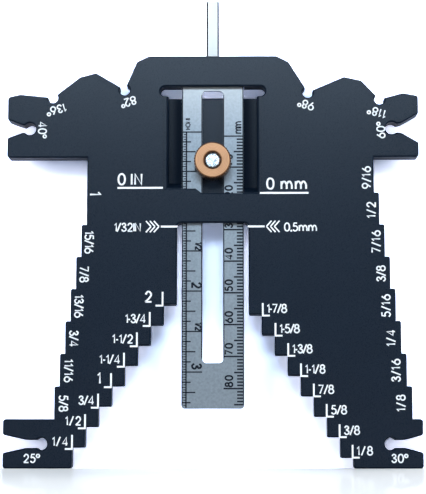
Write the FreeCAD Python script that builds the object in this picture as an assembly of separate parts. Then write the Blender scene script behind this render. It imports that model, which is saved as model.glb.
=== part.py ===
import FreeCAD, Part
import math
import os

from FreeCAD import Vector

# Step depth gauge, in millimetres. It stands on its two feet: +X to the right, -Y to the front, +Z up.
# The origin is on the base plane, half way across, and half way from the nut's face to the plate's back.
inch = 25.4

# The plate, one milling
plate_width = 130.2
plate_thickness = 6.35
plate_edge_chamfer = 0.4
foot_height = 15.2
foot_corner_radius = 0.9
step_corner_radius = 0.6

# Outer steps: each edge stands in from the plate's side by whole sixteenths of an inch
outer_step_unit = inch / 16
left_outer_units = (10, 11, 12, 13, 14, 15, 16)
right_outer_units = (2, 3, 4, 5, 6, 7, 8, 9)
outer_step_rise = 10.14
ear_clearance = 1.2

# Inner steps: treads a quarter of an inch apart, the right leg's an eighth lower
inner_step_rise = inch / 4
right_step_start = inch / 8
inner_step_count = 8
inner_step_width = 4.04

# The head, from the ears' undersides to the top, and what is milled into it
head_height = 32.7
bar_height = 9.7
bar_end_wall = 3.6
slot_height = 3.2
slot_overrun = 1.0
window_height = 31.3
window_round_radius = 1.7
trench_width = 4.5
trench_floor = 1.85
trench_ramp = 2.3
bridge_height = 9.3
bridge_top_rise = 1.5
bridge_slope_left = -5.4
bridge_slope_right = -3.5
land_overlap = 1.0
land_top_chamfer = 0.8
inner_edge_chamfer = 0.3
channel_gap = 1.5
channel_corner_radius = 1.5
cover_thickness = 2.0

# The rule
rule_width = 19.6
rule_thickness = 1.2
rule_wide_length = 106.5
rule_foot_web = 14.2
rule_head_web = 5.6
rule_corner_radius = 1.0
rule_slot_radius = 1.3
rule_shoulder_drop = 5.3
tongue_width = 4.0
tongue_length = 23.7
tongue_root_radius = 0.8
rule_side_play = 0.15
rule_face_play = 0.1
rule_overhang = 0.3

# The clamp: a flat-headed stud through the window's floor, and a round nut on it
stud_diameter = 5.0
stud_rise = 10.0
stud_slot_play = 0.75
stud_end_chamfer = 0.4
stud_end_recess = 0.9
stud_head_diameter = 8.6
stud_head_thickness = 1.2
stud_recess_play = 0.1
nut_diameter = 11.6
nut_height = 6.0
nut_bore_play = 0.05
nut_bore_chamfer = 0.5
nut_rim_chamfer = 0.45
nut_seat_play = 0.05
knurl_count = 40
knurl_depth = 0.25
knurl_groove_width = 0.53

# Side notches, each named for its angle: height of the axis, mouth, neck, and the relief hole
notch_lip_radius = 0.8
notch_blend_radius = 6.0
shoulder_radius = 0.7
foot_notch_z = 7.55
ear_notch_rise = 9.3
notch_25 = {"angle": 25.0, "mouth": 5.6, "neck": 2.4, "hole_inset": 11.9, "hole_radius": 1.87}
notch_30 = {"angle": 30.0, "mouth": 5.4, "neck": 2.4, "hole_inset": 10.0, "hole_radius": 1.9}
notch_40 = {"angle": 40.0, "mouth": 5.9, "neck": 2.2, "hole_inset": 7.05, "hole_radius": 1.93}
notch_60 = {"angle": 60.0, "mouth": 9.4, "neck": 2.8, "hole_inset": 8.4, "hole_radius": 2.0}

# Top notches, each named for its angle: tilt of the axis to the left, drop below the top, flank lengths.
# The inner two are placed from the plate's middle. The outer two are placed from its sides, and their
# inner flanks end one peak's width from the inner notches.
top_hole_radius = 1.65
top_knee_radius = 1.2
ear_top_radius = 2.0
ear_top_fall = 0.9
left_peak_width = 5.05
right_peak_width = 5.55
notch_136 = {"angle": 136.0, "tilt": 15.9, "inset": 14.3, "drop": 13.4, "outer": 10.5}
notch_82 = {"angle": 82.0, "tilt": 17.8, "offset": -28.0, "drop": 10.9, "outer": 10.7, "inner": 9.9}
notch_98 = {"angle": 98.0, "tilt": -17.4, "offset": 30.2, "drop": 11.85, "outer": 12.5, "inner": 11.6}
notch_118 = {"angle": 118.0, "tilt": -15.8, "inset": 12.2, "drop": 14.15, "outer": 7.7}

# Worked out from the values above
half_width = plate_width / 2
ear_underside = foot_height + outer_step_rise * len(right_outer_units) + ear_clearance
ear_notch_z = ear_underside + ear_notch_rise
plate_height = ear_underside + head_height
window_top = plate_height - bar_height - slot_height
bridge_top_right = window_top - window_height
bridge_top_left = bridge_top_right + bridge_top_rise
bridge_underside = bridge_top_right - bridge_height
channel_half_width = rule_width / 2 + channel_gap
land_half_width = rule_width / 2 - rule_overhang
window_half_width = land_half_width + trench_width + window_round_radius
slot_half_length = window_half_width + slot_overrun
bar_half_width = slot_half_length + bar_end_wall
stud_z = bridge_top_right + stud_rise
rule_slot_width = stud_diameter + 2 * stud_slot_play
rule_end = plate_height - rule_shoulder_drop - rule_wide_length

# Depths along Y, where the plate and the clamp together are centred on the origin
land_depth = cover_thickness + rule_face_play + rule_thickness
nut_seat_depth = land_depth - rule_thickness - nut_seat_play
nut_face_depth = nut_seat_depth - nut_height
plate_front = (-plate_thickness - nut_face_depth) / 2
plate_back = plate_front + plate_thickness
trench_bottom = plate_back - trench_floor
land = plate_front + land_depth
before = plate_front - plate_thickness
behind = plate_back + plate_thickness


def inner_steps(side, first_tread):
    """The corners of one leg's inner steps, as (x, z, radius), from the foot up to the channel."""
    corners = []
    for step in range(inner_step_count):
        riser = channel_half_width + inner_step_width * (inner_step_count - step)
        tread = first_tread + inner_step_rise * step
        corners.append((side * riser, tread, 0))
        corners.append((side * (riser - inner_step_width), tread, step_corner_radius))
    return corners


def side_notch(side, z, notch):
    """The corners of a V in the plate's side, from its lower lip up. Its neck ends inside the relief hole."""
    edge = side * half_width
    half_mouth = notch["mouth"] / 2
    half_neck = notch["neck"] / 2
    throat = edge - side * (half_mouth - half_neck) / math.tan(math.radians(notch["angle"] / 2))
    end = edge - side * notch["hole_inset"]
    return [
        (edge, z - half_mouth, notch_lip_radius),
        (throat, z - half_neck, notch_blend_radius),
        (end, z - half_neck, 0),
        (end, z + half_neck, 0),
        (throat, z + half_neck, notch_blend_radius),
        (edge, z + half_mouth, notch_lip_radius),
    ]


def top_vertex(notch):
    """Where the flanks of a top notch meet."""
    x = notch.get("offset")
    if x is None:
        x = math.copysign(half_width - notch["inset"], -notch["tilt"])
    return x, plate_height - notch["drop"]


def flank_end(notch, part, reach=None, end_x=None):
    """The far end of a notch's inner or outer flank, at that reach from the vertex or at that x."""
    x, z = top_vertex(notch)
    to_left = (x < 0) == (part == "outer")
    turn = notch["angle"] / 2 if to_left else -notch["angle"] / 2
    direction = math.radians(90 + notch["tilt"] + turn)
    if reach is None:
        reach = (end_x - x) / math.cos(direction)
    return x + reach * math.cos(direction), z + reach * math.sin(direction)


def head_outline(side, inner_notch, outer_notch, peak_width):
    """One half of the head's top edge, as (x, z, radius), from the bar's end out to the ear's corner."""
    inner_end = flank_end(inner_notch, "inner", inner_notch["inner"])
    peak = flank_end(inner_notch, "outer", inner_notch["outer"])
    knee = flank_end(outer_notch, "inner", end_x=peak[0] + side * peak_width)
    ear = flank_end(outer_notch, "outer", outer_notch["outer"])
    return [
        (side * bar_half_width, plate_height, top_knee_radius),
        (*inner_end, top_knee_radius),
        (*top_vertex(inner_notch), 0),
        (*peak, top_knee_radius),
        (*knee, top_knee_radius),
        (*top_vertex(outer_notch), 0),
        (*ear, ear_top_radius),
        (side * half_width, ear[1] - ear_top_fall, notch_lip_radius),
    ]


def rounded_wire(corners, y):
    """A closed wire at depth y through (x, z, radius) corners, each turned by an arc of its radius.

    An arc takes at most just under half of the shorter run beside it.
    """
    arc_share = 0.45
    shortest_arc = 1e-6
    points = [Vector(x, y, z) for x, z, radius in corners]
    starts = []
    ends = []
    middles = []
    for i, corner in enumerate(corners):
        back = points[i - 1] - points[i]
        ahead = points[(i + 1) % len(points)] - points[i]
        opening = back.getAngle(ahead)
        reach = 0.0
        if corner[2] > 0:
            reach = corner[2] / math.tan(opening / 2)
            reach = min(reach, arc_share * back.Length, arc_share * ahead.Length)
        back.normalize()
        ahead.normalize()
        starts.append(points[i] + back * reach)
        ends.append(points[i] + ahead * reach)
        middle = points[i]
        if reach > 0:
            bisector = back + ahead
            bisector.normalize()
            radius = reach * math.tan(opening / 2)
            middle = points[i] + bisector * (radius / math.sin(opening / 2) - radius)
        middles.append(middle)
    edges = []
    for i in range(len(points)):
        following = (i + 1) % len(points)
        if (ends[i] - starts[i]).Length > shortest_arc:
            edges.append(Part.Arc(starts[i], middles[i], ends[i]).toShape())
        edges.append(Part.LineSegment(ends[i], starts[following]).toShape())
    return Part.Wire(edges)


def prism(corners, front, back):
    """A solid with that outline in the XZ plane, from y = front to y = back."""
    face = Part.Face(rounded_wire(corners, front))
    return face.extrude(Vector(0, back - front, 0))


def block(x0, x1, y0, y1, z0, z1):
    return Part.makeBox(x1 - x0, y1 - y0, z1 - z0, Vector(x0, y0, z0))


def drill(x, z, radius, front, back):
    return Part.makeCylinder(radius, back - front, Vector(x, front, z), Vector(0, 1, 0))


def cross_edges(shape, places, reach=0.3):
    """The edges parallel to Y that stand within reach of one of those (x, z) places."""
    straight = 1e-4
    found = []
    for edge in shape.Edges:
        a = edge.Vertexes[0].Point
        b = edge.Vertexes[-1].Point
        if math.hypot(a.x - b.x, a.z - b.z) > straight or abs(a.y - b.y) < straight:
            continue
        if any(math.hypot(a.x - x, a.z - z) < reach for x, z in places):
            found.append(edge)
    return found


def face_edges(shape, y):
    """The edges that lie in the plane at that depth."""
    return [e for e in shape.Edges if abs(e.BoundBox.YMin - y) < 1e-5 and abs(e.BoundBox.YMax - y) < 1e-5]


def outer_steps(side, units):
    """The corners of one leg's outer steps, from the foot's top up to the ear's underside."""
    corners = []
    for i, unit in enumerate(units):
        x = side * (half_width - unit * outer_step_unit)
        bottom = foot_height + outer_step_rise * i
        top = foot_height + outer_step_rise * (i + 1)
        corners.append((x, bottom, 0))
        corners.append((x, top, step_corner_radius))
    corners[-1] = (corners[-1][0], ear_underside, 0)
    return corners


def plate_outline():
    """The corners of the plate's edge, as (x, z, radius), from the left foot round to the right."""
    leg_corner = channel_half_width + inner_step_width * inner_step_count
    outline = [(-half_width, 0, foot_corner_radius), (-leg_corner, 0, foot_corner_radius)]
    outline += inner_steps(-1, inner_step_rise)
    outline.append((-channel_half_width, bridge_underside, channel_corner_radius))
    outline.append((channel_half_width, bridge_underside, channel_corner_radius))
    outline += reversed(inner_steps(1, right_step_start))
    outline += [(leg_corner, 0, foot_corner_radius), (half_width, 0, foot_corner_radius)]
    outline += side_notch(1, foot_notch_z, notch_30)
    outline.append((half_width, foot_height, foot_corner_radius))
    outline += outer_steps(1, right_outer_units)
    outline.append((half_width, ear_underside, foot_corner_radius))
    outline += side_notch(1, ear_notch_z, notch_60)
    outline += reversed(head_outline(1, notch_98, notch_118, right_peak_width))
    outline += head_outline(-1, notch_82, notch_136, left_peak_width)
    outline += reversed(side_notch(-1, ear_notch_z, notch_40))
    outline.append((-half_width, ear_underside, foot_corner_radius))
    outline += reversed(outer_steps(-1, left_outer_units))
    outline.append((-half_width, foot_height, foot_corner_radius))
    outline += reversed(side_notch(-1, foot_notch_z, notch_25))
    return outline


def notched_plate():
    """The whole plate with its steps, notches, relief holes and finger slot, and its edges broken."""
    plate = prism(plate_outline(), plate_front, plate_back)
    holes = [finger_slot()]
    shoulders = []
    side_notches = (
        (-1, foot_notch_z, notch_25), (1, foot_notch_z, notch_30),
        (-1, ear_notch_z, notch_40), (1, ear_notch_z, notch_60),
    )
    for side, z, notch in side_notches:
        x = side * (half_width - notch["hole_inset"])
        half_neck = notch["neck"] / 2
        reach = math.sqrt(notch["hole_radius"] ** 2 - half_neck**2)
        shoulders += [(x + side * reach, z - half_neck), (x + side * reach, z + half_neck)]
        holes.append(drill(x, z, notch["hole_radius"], before, behind))
    for notch in (notch_136, notch_82, notch_98, notch_118):
        x, z = top_vertex(notch)
        holes.append(drill(x, z, top_hole_radius, before, behind))
    plate = plate.cut(holes)
    plate = plate.makeFillet(shoulder_radius, cross_edges(plate, shoulders))
    rim = face_edges(plate, plate_front) + face_edges(plate, plate_back)
    return plate.makeChamfer(plate_edge_chamfer, rim)


def bridge_line(drop):
    """The outline of what stands over the bridge's stepped top edge, lowered by that drop."""
    return [
        (-plate_width, bridge_top_left - drop, 0),
        (bridge_slope_left, bridge_top_left - drop, 0),
        (bridge_slope_right, bridge_top_right - drop, 0),
        (plate_width, bridge_top_right - drop, 0),
        (plate_width, plate_height, 0),
        (-plate_width, plate_height, 0),
    ]


def bridge_edge():
    """The narrow slope that breaks the bridge's top front edge, across the window."""
    near = rounded_wire(bridge_line(2 * inner_edge_chamfer), plate_front - inner_edge_chamfer)
    far = rounded_wire(bridge_line(0), plate_front + inner_edge_chamfer)
    slope = Part.makeLoft([near, far], True, True)
    width = window_half_width
    return slope.common(block(-width, width, before, plate_back, bridge_underside, window_top))


def trench_ramps():
    """The slopes that bring each trench up to the front face at the bridge's top edge."""
    ramps = []
    for side, bottom in ((-1, bridge_top_left), (1, bridge_top_right)):
        x = side * rule_width / 2
        points = [
            Vector(x, plate_front, bottom),
            Vector(x, trench_bottom, bottom),
            Vector(x, trench_bottom, bottom + trench_ramp),
        ]
        face = Part.Face(Part.makePolygon(points + points[:1]))
        ramps.append(face.extrude(Vector(side * window_half_width, 0, 0)))
    return ramps


def land_top_edge():
    """What breaks the land's top front edge, under the finger slot."""
    points = [
        Vector(-land_half_width, land, window_top - land_top_chamfer),
        Vector(-land_half_width, land, window_top),
        Vector(-land_half_width, land + land_top_chamfer, window_top),
    ]
    face = Part.Face(Part.makePolygon(points + points[:1]))
    return face.extrude(Vector(2 * land_half_width, 0, 0))


def window_cutter():
    """The front pocket: rounded sides, a deep trench each side, and a raised land that backs the rule."""
    wall = window_half_width - window_round_radius
    turn = window_round_radius * math.sqrt(0.5)
    edges = []
    for side in (-1, 1):
        lip = Vector(side * window_half_width, plate_front, 0)
        middle = Vector(side * (window_half_width - turn), plate_front + window_round_radius - turn, 0)
        foot = Vector(side * wall, plate_front + window_round_radius, 0)
        path = [
            foot,
            Vector(side * wall, trench_bottom, 0),
            Vector(side * land_half_width, trench_bottom, 0),
            Vector(side * land_half_width, land, 0),
        ]
        edges.append(Part.LineSegment(Vector(side * window_half_width, before, 0), lip).toShape())
        edges.append(Part.Arc(lip, middle, foot).toShape())
        edges += [Part.LineSegment(a, b).toShape() for a, b in zip(path, path[1:])]
    for x, y in ((window_half_width, before), (land_half_width, land)):
        edges.append(Part.LineSegment(Vector(-x, y, 0), Vector(x, y, 0)).toShape())
    profile = Part.Wire(Part.__sortEdges__(edges))
    profile.translate(Vector(0, 0, bridge_underside))
    height = window_top + slot_height / 2 - bridge_underside
    pocket = Part.Face(profile).extrude(Vector(0, 0, height))
    return pocket.common(prism(bridge_line(0), before, behind)).cut(trench_ramps())


def rule_channel():
    """The rule's way behind the bridge, over the land and behind the bar, open to the back at both ends."""
    half = rule_width / 2 + rule_side_play
    front = plate_front + cover_thickness
    top = plate_height + plate_thickness
    bottom = bridge_underside - plate_thickness
    under_bridge = block(-half, half, front, behind, bottom, bridge_top_right - land_overlap)
    over_land = block(-half, half, front, land, bottom, window_top)
    in_bar = block(-half, half, front, behind, window_top, top)
    return under_bridge.fuse([over_land, in_bar])


def finger_slot():
    """The long slot with round ends that goes right through under the bar."""
    radius = slot_height / 2
    middle = slot_half_length - radius
    z = window_top + radius
    straight = block(-middle, middle, before, behind, window_top, window_top + slot_height)
    ends = [drill(x, z, radius, before, behind) for x in (-middle, middle)]
    return straight.fuse(ends)


def stud_hole():
    """The stud's hole through the land, and the recess for its head in the back."""
    hole = drill(0, stud_z, stud_diameter / 2, plate_front, behind)
    recess_radius = stud_head_diameter / 2 + stud_recess_play
    recess = drill(0, stud_z, recess_radius, plate_back - stud_head_thickness, behind)
    return hole.fuse(recess)


def gauge_body():
    """The milled plate: the rule passes over its land, behind its bridge and behind its bar."""
    return notched_plate().cut([window_cutter(), land_top_edge(), bridge_edge(), rule_channel(), stud_hole()])


def depth_rule():
    """The slotted rule, with a tongue at its top end that comes out of the plate's top."""
    half = rule_width / 2
    front = plate_front + cover_thickness + rule_face_play
    back = front + rule_thickness
    shoulder = rule_end + rule_wide_length
    tip = shoulder + tongue_length
    outline = [
        (-half, rule_end, rule_corner_radius),
        (half, rule_end, rule_corner_radius),
        (half, shoulder, rule_corner_radius),
        (tongue_width / 2, shoulder, tongue_root_radius),
        (tongue_width / 2, tip, 0),
        (-tongue_width / 2, tip, 0),
        (-tongue_width / 2, shoulder, tongue_root_radius),
        (-half, shoulder, rule_corner_radius),
    ]
    slot_half = rule_slot_width / 2
    slot_bottom = rule_end + rule_foot_web
    slot_top = shoulder - rule_head_web
    slot = [
        (-slot_half, slot_bottom, rule_slot_radius),
        (slot_half, slot_bottom, rule_slot_radius),
        (slot_half, slot_top, rule_slot_radius),
        (-slot_half, slot_top, rule_slot_radius),
    ]
    return prism(outline, front, back).cut(prism(slot, front, back))


def clamp_stud():
    """The threaded stud, drawn at its outer diameter, with its flat head let into the plate's back."""
    radius = stud_diameter / 2
    head_radius = stud_head_diameter / 2
    tip = plate_front + nut_face_depth + stud_end_recess
    shoulder = plate_back - stud_head_thickness
    profile = [
        Vector(0, tip, 0),
        Vector(radius - stud_end_chamfer, tip, 0),
        Vector(radius, tip + stud_end_chamfer, 0),
        Vector(radius, shoulder, 0),
        Vector(head_radius, shoulder, 0),
        Vector(head_radius, plate_back, 0),
        Vector(0, plate_back, 0),
    ]
    return turned(profile, stud_z)


def turned(profile, z):
    """A solid turned about the line along Y at that height."""
    face = Part.Face(Part.makePolygon(profile + profile[:1]))
    solid = face.revolve(Vector(0, 0, 0), Vector(0, 1, 0), 360)
    solid.translate(Vector(0, 0, z))
    return solid


def thumb_nut():
    """The round nut: a straight knurl round its rim, and a bore that is widened at the front."""
    radius = nut_diameter / 2
    bore = stud_diameter / 2 + nut_bore_play
    face = plate_front + nut_face_depth
    seat = plate_front + nut_seat_depth
    profile = [
        Vector(bore, face + nut_bore_chamfer, 0),
        Vector(bore + nut_bore_chamfer, face, 0),
        Vector(radius - nut_rim_chamfer, face, 0),
        Vector(radius, face + nut_rim_chamfer, 0),
        Vector(radius, seat - nut_rim_chamfer, 0),
        Vector(radius - nut_rim_chamfer, seat, 0),
        Vector(bore, seat, 0),
    ]
    nut = turned(profile, stud_z)
    groove = prism([
        (-knurl_groove_width, radius + knurl_depth, 0),
        (0, radius - knurl_depth, 0),
        (knurl_groove_width, radius + knurl_depth, 0),
    ], face, seat)
    grooves = []
    for i in range(knurl_count):
        cut = groove.copy()
        cut.rotate(Vector(0, 0, 0), Vector(0, 1, 0), 360 / knurl_count * i)
        cut.translate(Vector(0, 0, stud_z))
        grooves.append(cut)
    return nut.cut(grooves)


os.makedirs("parts", exist_ok=True)
pieces = {
    "gauge_body": gauge_body,
    "depth_rule": depth_rule,
    "clamp_stud": clamp_stud,
    "thumb_nut": thumb_nut,
}
for name, make in pieces.items():
    piece = make().removeSplitter()
    if len(piece.Solids) == 1:
        piece = piece.Solids[0]
    piece.exportStep(f"parts/{name}.step")
    print(name, round(piece.Volume, 1), "mm3,", len(piece.Faces), "faces, valid", piece.isValid())
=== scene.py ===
import math

import bmesh
import bpy
from mathutils import Matrix, Vector


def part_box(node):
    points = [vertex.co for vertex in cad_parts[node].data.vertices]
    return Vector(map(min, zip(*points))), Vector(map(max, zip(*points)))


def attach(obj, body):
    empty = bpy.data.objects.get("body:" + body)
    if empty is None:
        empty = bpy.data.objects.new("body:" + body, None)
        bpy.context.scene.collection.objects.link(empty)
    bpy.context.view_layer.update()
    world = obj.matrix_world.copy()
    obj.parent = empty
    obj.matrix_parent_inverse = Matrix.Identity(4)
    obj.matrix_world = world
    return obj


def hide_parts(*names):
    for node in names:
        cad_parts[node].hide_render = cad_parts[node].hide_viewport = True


# Step depth gauge: a stepped plate, a sliding rule, a clamp stud and a round thumb nut.
# The forms come from the frame. This script gives them their finishes, print, thread, light and camera.

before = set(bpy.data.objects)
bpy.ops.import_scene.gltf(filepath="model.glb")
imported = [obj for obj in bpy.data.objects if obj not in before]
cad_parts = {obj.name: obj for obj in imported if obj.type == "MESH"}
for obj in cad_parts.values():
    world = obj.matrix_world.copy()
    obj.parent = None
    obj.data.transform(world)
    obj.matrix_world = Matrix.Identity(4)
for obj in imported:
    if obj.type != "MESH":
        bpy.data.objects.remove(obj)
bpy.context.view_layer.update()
print("frame loaded with", ", ".join(sorted(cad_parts)))

mm = 0.001
inch = 25.4 * mm
plateLow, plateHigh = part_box("gauge_body")
ruleLow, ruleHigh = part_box("depth_rule")
nutLow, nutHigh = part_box("thumb_nut")
studLow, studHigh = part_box("clamp_stud")
nutMiddle = (nutLow + nutHigh) / 2
printDepth = 0.02 * mm     # all print stands this proud


# shader nodes

def newMaterial(name):
    material = bpy.data.materials.new(name)
    material.use_nodes = True
    return material, material.node_tree, material.node_tree.nodes["Principled BSDF"]


def feed(tree, node, inputs):
    # each input takes another node's output, a number, a vector or a colour of three parts
    for name, value in inputs.items():
        socket = node.inputs[name]
        if isinstance(value, bpy.types.NodeSocket):
            tree.links.new(value, socket)
        else:
            socket.default_value = (*value, 1) if socket.type == "RGBA" else value


def addNode(tree, kind, inputs=None, **settings):
    node = tree.nodes.new(kind)
    for name, value in settings.items():
        setattr(node, name, value)
    feed(tree, node, inputs or {})
    return node


def addMath(tree, operation, *values):
    return addNode(tree, "ShaderNodeMath", dict(enumerate(values)), operation=operation).outputs["Value"]


def addVectorMath(tree, operation, *values):
    node = addNode(tree, "ShaderNodeVectorMath", dict(enumerate(values)), operation=operation)
    return node.outputs["Value" if operation == "LENGTH" else "Vector"]


def addPlace(tree, kind="Object"):
    return addNode(tree, "ShaderNodeTexCoord").outputs[kind]


def addAxis(tree, vector, axis):
    return addNode(tree, "ShaderNodeSeparateXYZ", {"Vector": vector}).outputs[axis]


def addNoise(tree, scale, detail, stretch=(1, 1, 1)):
    mapping = addNode(tree, "ShaderNodeMapping", {"Vector": addPlace(tree), "Scale": stretch})
    inputs = {"Vector": mapping.outputs["Vector"], "Scale": scale, "Detail": detail}
    return addNode(tree, "ShaderNodeTexNoise", inputs).outputs["Fac"]


noiseSpan = (0.3, 0.7)     # most values of a noise lie between these


def addRange(tree, source, start, end, span=noiseSpan):
    # start where the source is at the span's first value, and end where it is at its second
    inputs = {"Value": source, "From Min": span[0], "From Max": span[1], "To Min": start, "To Max": end}
    return addNode(tree, "ShaderNodeMapRange", inputs).outputs["Result"]


def addMix(tree, kind, share, first, second):
    inputs = {"Factor": share, "A": first, "B": second}
    return addNode(tree, "ShaderNodeMix", inputs, data_type=kind).outputs["Result"]


def addSpeckle(tree, look, noise):
    return addMix(tree, "RGBA", addRange(tree, noise, 0, 1), look["dark"], look["light"])


def addBump(tree, height, strength, distance):
    inputs = {"Height": height, "Strength": strength, "Distance": distance}
    return addNode(tree, "ShaderNodeBump", inputs).outputs["Normal"]


def addBoxMask(tree, middle, reach):
    # 1 inside the box, and 0 outside it
    away = addVectorMath(tree, "SUBTRACT", addPlace(tree), middle)
    share = addVectorMath(tree, "ABSOLUTE", addVectorMath(tree, "DIVIDE", away, reach))
    widest = addMath(tree, "MAXIMUM", addAxis(tree, share, "X"), addAxis(tree, share, "Y"))
    widest = addMath(tree, "MAXIMUM", widest, addAxis(tree, share, "Z"))
    return addMath(tree, "LESS_THAN", widest, 1.0)


# finishes: a noise is its scale and detail, and its stretch where it has one

anodised = {
    "dark": (0.0026, 0.0068, 0.0150),
    "light": (0.0042, 0.0098, 0.0195),
    "patches": (60, 4),
    "roughness": (0.26, 0.31),
    "gloss": 0.26,
    "sideGloss": 0.05,
    "sideRoughness": 0.5,
    "satinFacing": (0.8, 1),     # how squarely a face looks forward or back, from side gloss to full
    "blast": (5200, 2),
    "blastStrength": 0.5,
    "blastDepth": 0.008 * mm,
    "pocket": {
        "middle": (0, 3.3 * mm, 103 * mm),
        "reach": (16.2 * mm, 0.9 * mm, 17.6 * mm),
        "shadeSpan": (15.6 * mm, 11.2 * mm),     # how far from the plate's middle the painted shade starts, and where it is full
        "gloss": 0.03,
    },
}


def makeAnodised():
    look = anodised
    material, tree, shader = newMaterial("blackAnodised")
    grain = addNoise(tree, *look["blast"])

    # The edges are as milled and matt. The front and back are satin.
    facing = addMath(tree, "ABSOLUTE", addAxis(tree, addPlace(tree, "Normal"), "Y"))
    rough = addRange(tree, grain, *look["roughness"])
    gloss = addRange(tree, facing, look["sideGloss"], look["gloss"], look["satinFacing"])

    # Painted shade: the gloss in the two trenches beside the rule falls away toward the rule, so they render
    # black there.
    pocket = look["pocket"]
    inside = addBoxMask(tree, pocket["middle"], pocket["reach"])
    out = addMath(tree, "ABSOLUTE", addAxis(tree, addPlace(tree), "X"))
    trenchShade = addMath(tree, "MULTIPLY", addRange(tree, out, 0, 1, pocket["shadeSpan"]), inside)

    feed(tree, shader, {
        "Base Color": addMix(tree, "RGBA", addNoise(tree, *look["patches"]), look["dark"], look["light"]),
        "Roughness": addMix(tree, "FLOAT", facing, look["sideRoughness"], rough),
        "Specular IOR Level": addMix(tree, "FLOAT", trenchShade, gloss, pocket["gloss"]),
        "Normal": addBump(tree, grain, look["blastStrength"], look["blastDepth"]),
    })
    return material


stainless = {
    "dark": (0.190, 0.217, 0.238),
    "light": (0.250, 0.279, 0.304),
    "speckle": (1300, 6),
    "grain": (4200, 3, (1, 1, 0.02)),
    "grainStrength": 0.3,
    "grainDepth": 0.015 * mm,
    "roughness": (0.36, 0.46),
    "metallic": 0.75,
    # the brighter colour of the painted highlight toward the top, and the heights over which it comes in
    "toplitColour": (0.47, 0.45, 0.425),
    "toplitHeights": (106 * mm, 138 * mm),
}


def makeStainless():
    look = stainless
    material, tree, shader = newMaterial("brushedStainless")
    grain = addNoise(tree, *look["grain"])
    worn = addSpeckle(tree, look, addNoise(tree, *look["speckle"]))

    # Painted highlight: the top end and the tongue are painted brighter, where the light from above falls
    # strongest.
    toplit = addRange(tree, addAxis(tree, addPlace(tree), "Z"), 0, 1, look["toplitHeights"])

    feed(tree, shader, {
        "Base Color": addMix(tree, "RGBA", toplit, worn, look["toplitColour"]),
        "Roughness": addRange(tree, grain, *look["roughness"]),
        "Metallic": look["metallic"],
        "Normal": addBump(tree, grain, look["grainStrength"], look["grainDepth"]),
    })
    return material


turnedBrass = {
    "dark": (0.35, 0.170, 0.085),
    "light": (0.53, 0.275, 0.145),
    # colour of the painted shade in the bore and on the rim
    "boreRimShade": (0.110, 0.055, 0.030),
    "boreEdge": 2.88 * mm,
    "rimEdge": 5.38 * mm,
    "fade": 0.12 * mm,
    "ringWidth": 0.22 * mm,     # of one ridge or one groove
    "ringTurn": 20,     # radians for each unit of length at a scale of 1
    "ringWander": {"Distortion": 0.6, "Detail": 2, "Detail Scale": 1.5},
    "ringStrength": 0.4,
    "ringDepth": 0.012 * mm,
    "mottle": (500, 3),
    "roughness": (0.28, 0.38),
    "metallic": 1.0,
}


def makeTurnedBrass():
    look = turnedBrass
    material, tree, shader = newMaterial("turnedCopperBrass")
    mapping = addNode(tree, "ShaderNodeMapping", {"Vector": addPlace(tree), "Location": tuple(-nutMiddle)})
    centred = mapping.outputs["Vector"]
    scale = math.pi / (look["ringTurn"] * look["ringWidth"])
    inputs = {"Vector": centred, "Scale": scale, **look["ringWander"]}
    wave = addNode(tree, "ShaderNodeTexWave", inputs, wave_type="RINGS", rings_direction="Y")
    rings = wave.outputs["Fac"]
    turned = addMix(tree, "RGBA", rings, look["dark"], look["light"])

    # Painted shade darkens the bore and its edge, and the rim and its edges.
    bore, rim, fade = look["boreEdge"], look["rimEdge"], look["fade"]
    radius = addVectorMath(tree, "LENGTH", addVectorMath(tree, "MULTIPLY", centred, (1, 0, 1)))
    inner = addRange(tree, radius, 1, 0, (bore - fade, bore + fade))
    outer = addRange(tree, radius, 0, 1, (rim - fade, rim + fade))

    feed(tree, shader, {
        "Base Color": addMix(tree, "RGBA", addMath(tree, "MAXIMUM", inner, outer), turned, look["boreRimShade"]),
        "Roughness": addRange(tree, addNoise(tree, *look["mottle"]), *look["roughness"]),
        "Metallic": look["metallic"],
        "Normal": addBump(tree, rings, look["ringStrength"], look["ringDepth"]),
    })
    return material


studSteel = {
    "dark": (0.62, 0.70, 0.76),
    "light": (0.88, 0.93, 0.96),
    "scuffs": (1500, 4),
    "scuffStrength": 0.3,
    "scuffDepth": 0.03 * mm,
    "roughness": (0.18, 0.34),
    "metallic": 0.9,
}


def makeBrightSteel():
    look = studSteel
    material, tree, shader = newMaterial("brightSteel")
    scuffs = addNoise(tree, *look["scuffs"])
    feed(tree, shader, {
        "Base Color": addSpeckle(tree, look, scuffs),
        "Roughness": addRange(tree, scuffs, *look["roughness"]),
        "Metallic": look["metallic"],
        "Normal": addBump(tree, scuffs, look["scuffStrength"], look["scuffDepth"]),
    })
    return material


prints = {
    "whiteLaserPrint": {
        "dark": (0.80, 0.82, 0.84), "light": (0.96, 0.97, 0.98), "roughness": 0.55, "gloss": 0.3,
    },
    "blackEtchFill": {
        "dark": (0.006, 0.008, 0.014), "light": (0.014, 0.017, 0.024), "roughness": 0.6, "gloss": 0.05,
    },
    "speckle": (3000, 3),
}


def makePrint(name):
    look = prints[name]
    material, tree, shader = newMaterial(name)
    feed(tree, shader, {
        "Base Color": addSpeckle(tree, look, addNoise(tree, *prints["speckle"])),
        "Roughness": look["roughness"],
        "Specular IOR Level": look["gloss"],
    })
    return material


blackAnodised = makeAnodised()
brushedStainless = makeStainless()
copperBrass = makeTurnedBrass()
brightSteel = makeBrightSteel()
whitePrint = makePrint("whiteLaserPrint")
blackPrint = makePrint("blackEtchFill")

for node, material in (
    ("gauge_body", blackAnodised), ("depth_rule", brushedStainless),
    ("thumb_nut", copperBrass), ("clamp_stud", brightSteel),
):
    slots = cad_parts[node].data.materials
    slots.clear()
    slots.append(material)
print("finishes made")


# making pieces

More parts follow.
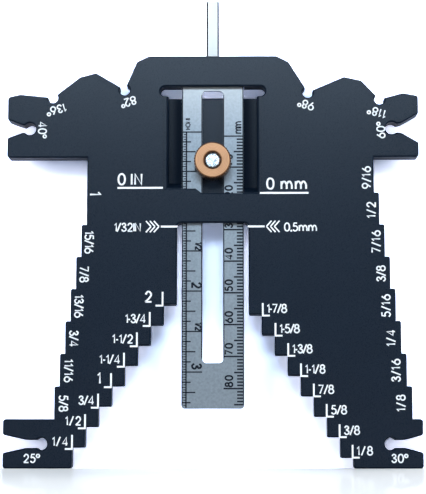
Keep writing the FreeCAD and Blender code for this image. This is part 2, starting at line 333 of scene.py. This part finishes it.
def addObject(name, data):
    item = bpy.data.objects.new(name, data)
    bpy.context.scene.collection.objects.link(item)
    return item


def addMeshObject(name, bm, material):
    mesh = bpy.data.meshes.new(name)
    bm.to_mesh(mesh)
    bm.free()
    mesh.materials.append(material)
    return addObject(name, mesh)


def makePiece(name, bm, material, body):
    piece = addMeshObject(name, bm, material)
    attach(piece, body)
    return piece


def addBar(bm, low, high):
    middle = (Vector(low) + Vector(high)) / 2
    size = Vector(high) - Vector(low)
    bmesh.ops.create_cube(bm, size=1, matrix=Matrix.Translation(middle) @ Matrix.Diagonal((*size, 1)))


# Engraver's letters: each is a few strokes on a cell one unit high.
# "line" is straight between its points, "curve" is smooth, and "loop" is smooth and closed.
strokeLetters = {
    "0": [("loop", (0, 0.5), (0.3, 1), (0.6, 0.5), (0.3, 0))],
    "1": [("line", (0, 0.76), (0.2, 1), (0.2, 0))],
    "2": [("curve", (0.02, 0.72), (0.29, 1), (0.56, 0.72), (0.4, 0.4), (0, 0)), ("line", (0, 0), (0.6, 0))],
    "3": [
        ("curve", (0.03, 0.8), (0.27, 1), (0.5, 0.77), (0.22, 0.54)),
        ("curve", (0.22, 0.54), (0.56, 0.28), (0.28, 0), (0, 0.22)),
    ],
    "4": [("line", (0.62, 0.25), (0, 0.25), (0.46, 1), (0.46, 0))],
    "5": [
        ("line", (0.52, 1), (0.14, 1), (0.07, 0.56)),
        ("curve", (0.07, 0.56), (0.3, 0.64), (0.57, 0.33), (0.28, 0), (0, 0.16)),
    ],
    "6": [("loop", (0, 0.31), (0.3, 0.62), (0.6, 0.31), (0.3, 0)), ("line", (0.42, 1), (0.04, 0.44))],
    "7": [("line", (0, 1), (0.56, 1), (0.17, 0))],
    "8": [
        ("loop", (0.06, 0.77), (0.29, 1), (0.52, 0.77), (0.29, 0.54)),
        ("loop", (0, 0.27), (0.29, 0.54), (0.58, 0.27), (0.29, 0)),
    ],
    "9": [("loop", (0, 0.69), (0.3, 1), (0.6, 0.69), (0.3, 0.38)), ("line", (0.18, 0), (0.56, 0.56))],
    "/": [("line", (0, -0.06), (0.44, 1.06))],
    "-": [("line", (0, 0.4), (0.26, 0.4))],
    ".": [("loop", (0, 0.02), (0.05, 0.07), (0.1, 0.02), (0.05, -0.03))],
    "°": [("loop", (0, 0.8), (0.19, 0.99), (0.38, 0.8), (0.19, 0.61))],
    "C": [("curve", (0.66, 0.84), (0.4, 1), (0, 0.5), (0.4, 0), (0.66, 0.16))],
    "H": [("line", (0, 0), (0, 1)), ("line", (0, 0.5), (0.56, 0.5)), ("line", (0.56, 0), (0.56, 1))],
    "I": [("line", (0, 0), (0, 1))],
    "N": [("line", (0, 0), (0, 1), (0.6, 0), (0.6, 1))],
    "m": [
        ("line", (0, 0), (0, 0.68)),
        ("curve", (0, 0.44), (0.2, 0.66), (0.38, 0.42)), ("line", (0.38, 0.42), (0.38, 0)),
        ("curve", (0.38, 0.44), (0.58, 0.66), (0.76, 0.42)), ("line", (0.76, 0.42), (0.76, 0)),
    ],
    "W": [     # the plate's wide m
        ("line", (0, 0), (0, 0.72)),
        ("curve", (0, 0.42), (0.24, 0.7), (0.48, 0.42)), ("line", (0.48, 0.42), (0.48, 0)),
        ("curve", (0.48, 0.42), (0.72, 0.7), (0.96, 0.42)), ("line", (0.96, 0.42), (0.96, 0)),
    ],
    " ": [],
}
lettering = {
    "weight": 0.18,     # width of a stroke on a letter one unit high
    "curveSteps": 5,
    "bevelSteps": 1,
    "gap": 0.3,
    "gaps": {"-": 0.1, "/": 0.06, "°": 0.12, ".": 0.16},     # beside letters that stand closer
}


def letterWidth(letter):
    ends = [point[0] for stroke in strokeLetters[letter] for point in stroke[1:]]
    return max(ends, default=0)


def letterGap(first, second):
    gaps = lettering["gaps"]
    return (gaps.get(first, lettering["gap"]) + gaps.get(second, lettering["gap"])) / 2


def addStroke(curve, kind, points, shift):
    spline = curve.splines.new("BEZIER")
    spline.bezier_points.add(len(points) - 1)
    spline.use_cyclic_u = kind == "loop"
    spline.resolution_u = 1 if kind == "line" else lettering["curveSteps"]
    handle = "VECTOR" if kind == "line" else "AUTO"
    for place, (x, y) in zip(spline.bezier_points, points):
        place.co = (x + shift, y, 0)
        place.handle_left_type = place.handle_right_type = handle


def addWords(bm, words, height, place, turn=0.0, width=None, align=0, weight=lettering["weight"]):
    # align is -1 to start at the place, 1 to end at it, and 0 to centre on it
    # The gaps between the letters stretch to fill the width, where there is one.
    curve = bpy.data.curves.new("words", "CURVE")
    curve.dimensions = "3D"
    curve.bevel_depth = weight / 2
    curve.bevel_resolution = lettering["bevelSteps"]
    curve.use_fill_caps = True
    unit = height / (1 + weight)
    solid = sum(letterWidth(letter) for letter in words) + weight
    gaps = [letterGap(first, second) for first, second in zip(words, words[1:])]
    stretch = (width / unit - solid) / (sum(gaps) or 1) if width else 1.0
    gaps = [gap * stretch for gap in gaps] + [0]
    total = solid + sum(gaps)
    shift = weight / 2 - total * (align + 1) / 2
    for letter, gap in zip(words, gaps):
        for kind, *points in strokeLetters[letter]:
            addStroke(curve, kind, points, shift)
        shift += letterWidth(letter) + gap
    holder = bpy.data.objects.new("words", curve)
    mesh = bpy.data.meshes.new_from_object(holder)
    centred = Matrix.Translation((0, -0.5, 0))
    flat = Matrix.Diagonal((unit, unit, printDepth / (weight / 2), 1))
    upright = Matrix.Rotation(math.pi / 2, 4, "X") @ Matrix.Rotation(math.radians(turn), 4, "Z")
    mesh.transform(Matrix.Translation(place) @ upright @ flat @ centred)
    bm.from_mesh(mesh)
    bpy.data.objects.remove(holder)
    bpy.data.curves.remove(curve)
    bpy.data.meshes.remove(mesh)


# print on the plate, in millimetres across from its middle and up from its feet

plateFront = plateLow.y


def platePlace(x, z):
    return Vector((x * mm, plateFront, z * mm))


def addPlateBar(bm, x0, x1, z0, z1):
    x0, x1 = sorted((x0, x1))
    addBar(bm, (x0 * mm, plateFront - printDepth, z0 * mm), (x1 * mm, plateFront, z1 * mm))


def fractionWidth(words, short, long):
    return (short if len(words) == len("1/8") else long) * mm


outerLabels = {
    "height": 3.05,
    "shortWidth": 5.3,
    "longWidth": 7.3,
    "oneHeight": 4.0,
    "left": {
        "words": ["5/8", "11/16", "3/4", "13/16", "7/8", "15/16"],
        "start": (-46.35, 20.05),
        "pitch": (1.506, 10.08),
        "last": ("1", -37.0, 86.0),
        "turn": -90,
    },
    "right": {
        "words": ["1/8", "3/16", "1/4", "5/16", "3/8", "7/16", "1/2"],
        "start": (58.3, 20.1),
        "pitch": (-1.41, 10.08),
        "last": ("9/16", 48.45, 90.9),
        "turn": 90,
    },
}


def makeOuterLabels():
    bm = bmesh.new()
    look = outerLabels
    for side in (look["left"], look["right"]):
        x, z = side["start"]
        stepX, stepZ = side["pitch"]
        labels = [(words, x + stepX * i, z + stepZ * i) for i, words in enumerate(side["words"])]
        for words, x, z in labels + [side["last"]]:
            if "/" in words:
                height = look["height"]
                width = fractionWidth(words, look["shortWidth"], look["longWidth"])
            else:
                height, width = look["oneHeight"], None
            addWords(bm, words, height * mm, platePlace(x, z), side["turn"], width)
    makePiece("outer_step_numbers", bm, whitePrint, "gauge")


# Each step moves its mark out by markShift, and lowers the mark by markSink and its words by wordSink.
innerLabels = {
    "height": 3.0,
    "shortWidth": 5.1,
    "wholeHeight": 3.8,
    "wholeGap": 2.9,
    "wholeRise": 0.5,
    "stroke": 0.55,
    "markWidth": 2.45,
    "firstRiser": 43.62,
    "riserPitch": 4.04,
    "treadPitch": 6.35,
    "left": {
        "sign": -1,
        "words": ["1/4", "1/2", "3/4", "1", "1-1/4", "1-1/2", "1-3/4", "2"],
        "treadDrop": 0,
        "markStart": -0.33, "markShift": 0.055, "markDrop": 0.62, "markSink": 0, "markHeight": 4.6,
        "wordGap": 0.85, "wordMiddle": 1.95, "wordSink": 0, "longWidth": 6.6,
    },
    "right": {
        "sign": 1,
        "words": ["1/8", "3/8", "5/8", "7/8", "1-1/8", "1-3/8", "1-5/8", "1-7/8"],
        "treadDrop": 3.175,
        "markStart": -0.70, "markShift": 0.105, "markDrop": 0.10, "markSink": 0.07, "markHeight": 4.2,
        "wordGap": 0.95, "wordMiddle": 2.25, "wordSink": 0.05, "longWidth": 6.4,
    },
}


def addInnerLabel(bm, side, i, words):
    look = innerLabels
    sign, stroke = side["sign"], look["stroke"]
    x = look["firstRiser"] - look["riserPitch"] * i + side["markStart"] + side["markShift"] * i
    tread = look["treadPitch"] * (i + 1) - side["treadDrop"]
    z = tread - side["markDrop"] - side["markSink"] * i
    addPlateBar(bm, sign * x, sign * (x + stroke), z, z + side["markHeight"])
    addPlateBar(bm, sign * (x + stroke), sign * (x + look["markWidth"]), z, z + stroke)
    if "/" in words:
        height, gap, rise = look["height"], side["wordGap"], 0
        width = fractionWidth(words, look["shortWidth"], side["longWidth"])
    else:
        height, gap, rise = look["wholeHeight"], look["wholeGap"], look["wholeRise"]
        width = None
    place = platePlace(sign * (x + stroke + gap), tread + side["wordMiddle"] - side["wordSink"] * i + rise)
    addWords(bm, words, height * mm, place, width=width, align=-sign)


def makeInnerLabels():
    bm = bmesh.new()
    for side in (innerLabels["left"], innerLabels["right"]):
        for i, words in enumerate(side["words"]):
            addInnerLabel(bm, side, i, words)
    makePiece("inner_step_numbers", bm, whitePrint, "gauge")


angleLabels = {
    "height": 2.95,
    "places": [     # words, across, up, turn in degrees, width
        ("25°", -56.0, 3.1, 0, 5.3), ("30°", 57.7, 3.1, 0, 5.4),
        ("40°", -54.0, 106.4, -90, 5.5), ("60°", 53.2, 106.1, 90, 5.4),
        ("136°", -49.7, 112.9, 196, 6.6), ("82°", -26.8, 115.35, 198, 5.2),
        ("98°", 29.6, 114.4, 163, 5.4), ("118°", 52.0, 111.9, 164, 6.2),
    ],
}


def makeAngleLabels():
    bm = bmesh.new()
    for words, x, z, turn, width in angleLabels["places"]:
        addWords(bm, words, angleLabels["height"] * mm, platePlace(x, z), turn, width * mm)
    makePiece("angle_numbers", bm, whitePrint, "gauge")


zeroMarks = {
    "height": 4.0,
    "stroke": 0.6,
    "sides": [
        {"words": "0 IN", "x": -26.1, "z": 90.5, "width": 7.9, "line": (-30.05, -15.7), "lineZ": 87.45},
        {"words": "0 WW", "x": 23.3, "z": 89.0, "width": 12.9, "line": (14.9, 30.2), "lineZ": 85.75},
    ],
}


def makeZeroMarks():
    bm = bmesh.new()
    look = zeroMarks
    for side in look["sides"]:
        place = platePlace(side["x"], side["z"])
        addWords(bm, side["words"], look["height"] * mm, place, width=side["width"] * mm)
        addPlateBar(bm, *side["line"], side["lineZ"], side["lineZ"] + look["stroke"])
    makePiece("zero_marks", bm, whitePrint, "gauge")


countMarks = {
    "z": 75.4,
    "height": 2.95,
    "wordSink": 0.2,
    "sides": [
        {"words": "1/32IN", "x": -26.8, "width": 8.5, "sign": -1},
        {"words": "0.5WW", "x": 27.6, "width": 10.4, "sign": 1},
    ],
    "line": (11.0, 16.3),
    "stroke": 0.6,
    "chevrons": 3,
    "chevronStart": 16.9,
    "chevronPitch": 1.25,
    "chevronReach": 1.6,
    "chevronHeight": 3.6,
    "chevronStroke": 0.42,
}


def addChevronArm(bm, tip, sign, half):
    look = countMarks
    reach = look["chevronReach"]
    rise = look["chevronHeight"] / 2
    bar = Matrix.Diagonal((math.hypot(reach, rise) * mm, printDepth, look["chevronStroke"] * mm, 1))
    slope = Matrix.Rotation(-math.atan2(half * rise, sign * reach), 4, "Y")
    middle = platePlace(tip + sign * reach / 2, look["z"] + half * rise / 2) - Vector((0, printDepth / 2, 0))
    bmesh.ops.create_cube(bm, size=1, matrix=Matrix.Translation(middle) @ slope @ bar)


def makeCountMarks():
    bm = bmesh.new()
    look = countMarks
    z, stroke = look["z"], look["stroke"]
    for side in look["sides"]:
        sign = side["sign"]
        place = platePlace(side["x"], z - look["wordSink"])
        addWords(bm, side["words"], look["height"] * mm, place, width=side["width"] * mm)
        addPlateBar(bm, *(sign * end for end in look["line"]), z - stroke / 2, z + stroke / 2)
        for i in range(look["chevrons"]):
            tip = sign * (look["chevronStart"] + look["chevronPitch"] * i)
            for half in (-1, 1):
                addChevronArm(bm, tip, sign, half)
    makePiece("count_marks", bm, whitePrint, "gauge")


makeOuterLabels()
makeInnerLabels()
makeAngleLabels()
makeZeroMarks()
makeCountMarks()
print("plate print made")


# scales on the rule

ruleFront = ruleLow.y
ruleEnd = ruleLow.z
ruleSlotHalf = 3.25 * mm
tickMargin = 0.1 * mm     # from the print to the rule's rim or to its slot

inchScale = {
    "zero": 87.6 * mm,     # height of the zero line above the rule's end
    "parts": 32,
    "clearEnd": 1 * mm,     # no tick comes nearer to the rule's end
    "lineInset": 1.45 * mm,
    "lineEnd": 0.3 * mm,
    "columnLine": 0.44 * mm,
    "oddStart": 0.6 * mm,
    "tick": 0.27 * mm,
    "line": 0.40 * mm,
    "eighth": 1.45 * mm,
    "quarter": 2.9 * mm,
    "halves": 6,
    "number": {"height": 3.45 * mm, "width": 2.1 * mm, "inset": 1.8 * mm, "gap": 1.85 * mm, "weight": 0.22},
    "half": {"height": 2.35 * mm, "width": 2.9 * mm, "inset": 1.25 * mm, "gap": 1.5 * mm, "weight": 0.27},
    "word": {"height": 1.7 * mm, "width": 3.7 * mm, "inset": 1.9 * mm, "gap": 2.6 * mm, "weight": 0.23},
}

mmScale = {
    "zero": 86.25 * mm,
    "last": 85,
    "lastNumber": 80,
    "one": 2.2 * mm,
    "five": 3.15 * mm,
    "tick": 0.48 * mm,
    "line": 0.42 * mm,
    "number": {"height": 2.75 * mm, "width": 3.9 * mm, "inset": 1.8 * mm, "gap": 2.3 * mm, "weight": 0.24},
    "word": {"height": 3.0 * mm, "width": 4.1 * mm, "inset": 2.0 * mm, "gap": 2.8 * mm, "weight": 0.16},
}


def addRuleBar(bm, x0, x1, z0, z1):
    addBar(bm, (x0, ruleFront - printDepth, z0), (x1, ruleFront, z1))


def addTick(bm, x0, x1, z, thickness):
    addRuleBar(bm, x0, x1, z - thickness / 2, z + thickness / 2)


def addRuleWords(bm, words, style, x, z, turn):
    place = Vector((x, ruleFront, z + style["gap"]))
    width = style["width"] if len(words) > 1 else None
    addWords(bm, words, style["height"], place, turn, width, weight=style["weight"])


def makeInchScale():
    bm = bmesh.new()
    look = inchScale
    zero = ruleEnd + look["zero"]
    column = ruleLow.x + look["lineInset"]
    slotEdge = -ruleSlotHalf
    columnHalf = look["columnLine"] / 2
    addRuleBar(bm, column - columnHalf, column + columnHalf, ruleEnd + look["lineEnd"], zero)
    addTick(bm, ruleLow.x + tickMargin, slotEdge - tickMargin, zero, look["line"])
    count = int((look["zero"] - look["clearEnd"]) / (inch / look["parts"]))
    for i in range(1, count + 1):
        z = zero - i * inch / look["parts"]
        end = column
        if i % 4 == 0:
            end = column + look["eighth"]
        if i % 8 == 0:
            end = column + look["quarter"]
        if i % 16 == 0:
            end = slotEdge - tickMargin
        start = ruleLow.x + (tickMargin if i % 2 == 0 else look["oddStart"])
        addTick(bm, start, end, z, look["line"] if i % 4 == 0 else look["tick"])
    for half in range(1, look["halves"] + 1):
        words, style = (str(half // 2), look["number"]) if half % 2 == 0 else ("1/2", look["half"])
        addRuleWords(bm, words, style, slotEdge - style["inset"], zero - half * inch / 2, -90)
    addRuleWords(bm, "INCH", look["word"], ruleLow.x + look["word"]["inset"], zero, -90)
    makePiece("rule_inch_scale", bm, blackPrint, "rule")


def makeMillimetreScale():
    bm = bmesh.new()
    look = mmScale
    zero = ruleEnd + look["zero"]
    slotEdge = ruleSlotHalf
    rimEnd = ruleHigh.x - tickMargin
    addTick(bm, slotEdge + tickMargin, rimEnd, zero, look["line"])
    for i in range(1, look["last"] + 1):
        start = ruleHigh.x - look["one"]
        if i % 5 == 0:
            start = ruleHigh.x - look["five"]
        if i % 10 == 0:
            start = slotEdge + tickMargin
        addTick(bm, start, rimEnd, zero - i * mm, look["tick"])
    for i in range(10, look["lastNumber"] + 1, 10):
        addRuleWords(bm, str(i), look["number"], slotEdge + look["number"]["inset"], zero - i * mm, 90)
    addRuleWords(bm, "mm", look["word"], ruleHigh.x - look["word"]["inset"], zero, 90)
    makePiece("rule_millimetre_scale", bm, blackPrint, "rule")


# Painted edge shade: dark lines on both sides of the rule's middle, along the rim, the slot and the tongue:
# how far out each starts, its width, and its two ends above the rule's end.
edgeShadeLines = {
    "slot": {"near": 3.27 * mm, "width": 0.34 * mm, "low": 15.6 * mm, "high": 99.6 * mm},
    "rim": {"near": 9.45 * mm, "width": 0.33 * mm, "low": 1.0 * mm, "high": 104.5 * mm},
    "tongue": {"near": 1.52 * mm, "width": 0.46 * mm, "low": 108.0 * mm, "high": 130.0 * mm},
}


def makeEdgeLines():
    bm = bmesh.new()
    for line in edgeShadeLines.values():
        for sign in (-1, 1):
            x0, x1 = sorted((sign * line["near"], sign * (line["near"] + line["width"])))
            addRuleBar(bm, x0, x1, ruleEnd + line["low"], ruleEnd + line["high"])
    makePiece("rule_edge_shade_lines", bm, blackPrint, "rule")


makeInchScale()
makeMillimetreScale()
makeEdgeLines()
print("rule scales made")


# the stud's thread and head

studThread = {
    "radius": 2.5 * mm,
    "pitch": 0.8 * mm,
    "depth": 0.43 * mm,
    "profile": [(0, 0), (0.1, 0), (0.45, 1), (0.6, 1), (1, 0)],     # shares of the pitch and the depth
    "steps": 36,
    "weldReach": 0.004 * mm,
    "cutReach": 1e-7,
    "endChamfer": 0.45 * mm,
    "headDepth": 1.2 * mm,
    "headSides": 64,
}


def spinThread(bm, start, end):
    look = studThread
    turns = math.ceil((end - start) / look["pitch"]) + 1
    corners = []
    for along, rise in look["profile"]:
        reach = look["radius"] - (1 - rise) * look["depth"]
        corners.append(bm.verts.new((0, start + along * look["pitch"], nutMiddle.z + reach)))
    edges = [bm.edges.new(pair) for pair in zip(corners, corners[1:])]
    bmesh.ops.spin(
        bm, geom=corners + edges, cent=(0, 0, nutMiddle.z), axis=(0, 1, 0),
        dvec=(0, look["pitch"] / look["steps"], 0), angle=2 * math.pi * turns,
        steps=look["steps"] * turns, use_merge=False,
    )
    bmesh.ops.remove_doubles(bm, verts=bm.verts[:], dist=look["weldReach"])


def cutThread(bm, y, normal):
    cut = bmesh.ops.bisect_plane(
        bm, geom=bm.verts[:] + bm.edges[:] + bm.faces[:], dist=studThread["cutReach"],
        plane_co=(0, y, nutMiddle.z), plane_no=normal, clear_outer=True,
    )
    rim = [item for item in cut["geom_cut"] if isinstance(item, bmesh.types.BMEdge)]
    bmesh.ops.contextual_create(bm, geom=rim)


def chamferThread(bm):
    endRadius = studThread["radius"] - studThread["endChamfer"]
    for vert in bm.verts:
        limit = endRadius + (vert.co.y - studLow.y)
        out = Vector((vert.co.x, 0, vert.co.z - nutMiddle.z))
        if out.length > limit:
            out *= limit / out.length
            vert.co = (out.x, vert.co.y, out.z + nutMiddle.z)


def addStudHead(bm, shoulder):
    radius = (studHigh.x - studLow.x) / 2
    middle = Vector((0, (shoulder + studHigh.y) / 2, nutMiddle.z))
    bmesh.ops.create_cone(
        bm, cap_ends=True, segments=studThread["headSides"], radius1=radius, radius2=radius,
        depth=studHigh.y - shoulder, matrix=Matrix.Translation(middle) @ Matrix.Rotation(math.pi / 2, 4, "X"),
    )


def makeThreadedStud():
    bm = bmesh.new()
    shoulder = studHigh.y - studThread["headDepth"]
    spinThread(bm, studLow.y - studThread["pitch"], shoulder)
    cutThread(bm, studLow.y, (0, -1, 0))
    cutThread(bm, shoulder, (0, 1, 0))
    chamferThread(bm)
    addStudHead(bm, shoulder)
    bmesh.ops.recalc_face_normals(bm, faces=bm.faces[:])
    stud = makePiece("threaded_stud", bm, brightSteel, "gauge")
    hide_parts("clamp_stud")


makeThreadedStud()
print("stud thread made")


# floor, backdrop, light and camera

# The camera sees tint times seen. In the light that falls on the object, both are dark grey paper.
stageLook = {
    "size": 30.0,
    "wallGap": 5 * mm,
    "paper": 0.12,
    "glow": (0.62, 0.74, 1.0),
    "lift": 0.02,
    "mirrorRoughness": 0.03,
    "floor": {"material": "paleFloor", "tint": (1.0, 0.965, 0.925), "seen": 0.85, "reflection": 0.20},
    "wall": {"material": "paleWall", "tint": (0.84, 0.87, 1.04), "seen": 2.35, "reflection": 0},
}


def makeStageMaterial(look, oneSided):
    material, tree, shader = newMaterial(look["material"])
    tree.nodes.remove(shader)
    rays = addNode(tree, "ShaderNodeLightPath").outputs
    direct = addMath(tree, "MAXIMUM", rays["Is Camera Ray"], rays["Is Glossy Ray"])
    direct = addMath(tree, "MAXIMUM", direct, rays["Is Transmission Ray"])
    paper = (stageLook["paper"],) * 3
    pale = tuple(look["seen"] * part for part in look["tint"])
    matt = addNode(tree, "ShaderNodeBsdfDiffuse", {"Color": addMix(tree, "RGBA", direct, paper, pale)})
    strength = addMath(tree, "MULTIPLY", direct, stageLook["lift"])
    glow = addNode(tree, "ShaderNodeEmission", {"Color": stageLook["glow"], "Strength": strength})
    total = addNode(tree, "ShaderNodeAddShader", {0: matt.outputs["BSDF"], 1: glow.outputs["Emission"]})
    last = total.outputs["Shader"]
    if look["reflection"]:
        mirror = addNode(tree, "ShaderNodeBsdfGlossy", {"Roughness": stageLook["mirrorRoughness"]})
        inputs = {"Fac": look["reflection"], 1: last, 2: mirror.outputs["BSDF"]}
        last = addNode(tree, "ShaderNodeMixShader", inputs).outputs["Shader"]
    if oneSided:     # clear from behind
        facing = addNode(tree, "ShaderNodeNewGeometry")
        clear = addNode(tree, "ShaderNodeBsdfTransparent")
        inputs = {"Fac": facing.outputs["Backfacing"], 1: last, 2: clear.outputs["BSDF"]}
        last = addNode(tree, "ShaderNodeMixShader", inputs).outputs["Shader"]
    feed(tree, tree.nodes["Material Output"], {"Surface": last})
    return material


def makeStage(name, material, matrix):
    bm = bmesh.new()
    bmesh.ops.create_grid(bm, x_segments=1, y_segments=1, size=stageLook["size"] / 2, matrix=matrix)
    stage = addMeshObject(name, bm, material)
    return stage


def makeFloorAndWall():
    look = stageLook
    makeStage("floor", makeStageMaterial(look["floor"], False), Matrix.Identity(4))
    place = Matrix.Translation((0, plateHigh.y + look["wallGap"], look["size"] / 2))
    upright = Matrix.Rotation(math.pi / 2, 4, "X")
    wall = makeStage("wall", makeStageMaterial(look["wall"], True), place @ upright)
    wall.visible_shadow = False
    wall.visible_diffuse = False


lamps = {     # places and sizes in metres
    "leftLamp": {
        "place": (-0.85, -0.55, 0.25), "aim": (0, 0, 0.08), "size": (0.5, 0.4),
        "watts": 7.4, "colour": (0.97, 0.97, 0.97),
    },
    "rightLamp": {
        "place": (0.85, -0.55, 0.25), "aim": (0, 0, 0.08), "size": (0.5, 0.4),
        "watts": 7.4, "colour": (0.97, 0.97, 0.97),
    },
    "topLamp": {
        "place": (0, -0.85, 0.48), "aim": (0, 0, 0.10), "size": (0.6, 0.26),
        "watts": 4.2, "colour": (0.76, 0.96, 1.16),
    },
    "backLamp": {
        "place": (0.2, 0.7, 0.6), "aim": (0, 0, 0.07), "size": (0.6, 0.4),
        "watts": 6.0, "colour": (1.0, 0.96, 0.90),
    },
}


def makeLamps():
    for name, look in lamps.items():
        light = bpy.data.lights.new(name, "AREA")
        light.shape = "RECTANGLE"
        light.size, light.size_y = look["size"]
        light.energy = look["watts"]
        light.color = look["colour"]
        lamp = addObject(name, light)
        lamp.location = look["place"]
        toward = Vector(look["aim"]) - lamp.location
        lamp.rotation_euler = toward.to_track_quat("-Z", "Y").to_euler()


skyLook = {
    "colour": (0.70, 0.83, 1.0),
    "rise": {"span": (0.05, 0.7), "strength": (0.06, 0.38)},     # from near the horizon to high up
    "behind": {"span": (-0.4, 0.4), "strength": (0, 0.45)},     # from the camera's side to behind the wall
}


def makeWorld():
    world = bpy.data.worlds.new("studio")
    bpy.context.scene.world = world
    world.use_nodes = True
    tree = world.node_tree
    shares = []
    for key, axis in (("rise", "Z"), ("behind", "Y")):
        look = skyLook[key]
        along = addAxis(tree, addPlace(tree, "Generated"), axis)
        shares.append(addRange(tree, along, *look["strength"], look["span"]))
    feed(tree, tree.nodes["Background"], {
        "Color": skyLook["colour"], "Strength": addMath(tree, "ADD", *shares),
    })


cameraLook = {
    "place": (7.0 * mm, -500 * mm, 6.35 * mm),     # from the middle of the plate's front, at the floor
    "pitch": 7.13,
    "yaw": 0.79,
    "lens": 117.0,
    "sensor": 36,
    "clip": (0.01, 20),
}


def makeCamera():
    look = cameraLook
    data = bpy.data.cameras.new("camera")
    data.lens = look["lens"]
    data.sensor_width = look["sensor"]
    data.clip_start, data.clip_end = look["clip"]
    camera = addObject("camera", data)
    camera.location = Vector(look["place"]) + Vector((0, plateFront, 0))
    camera.rotation_euler = (math.radians(90 + look["pitch"]), 0, math.radians(look["yaw"]))
    bpy.context.scene.camera = camera


makeFloorAndWall()
makeLamps()
makeWorld()
makeCamera()
bpy.context.scene.view_settings.view_transform = "Standard"
print("stage, light and camera made")
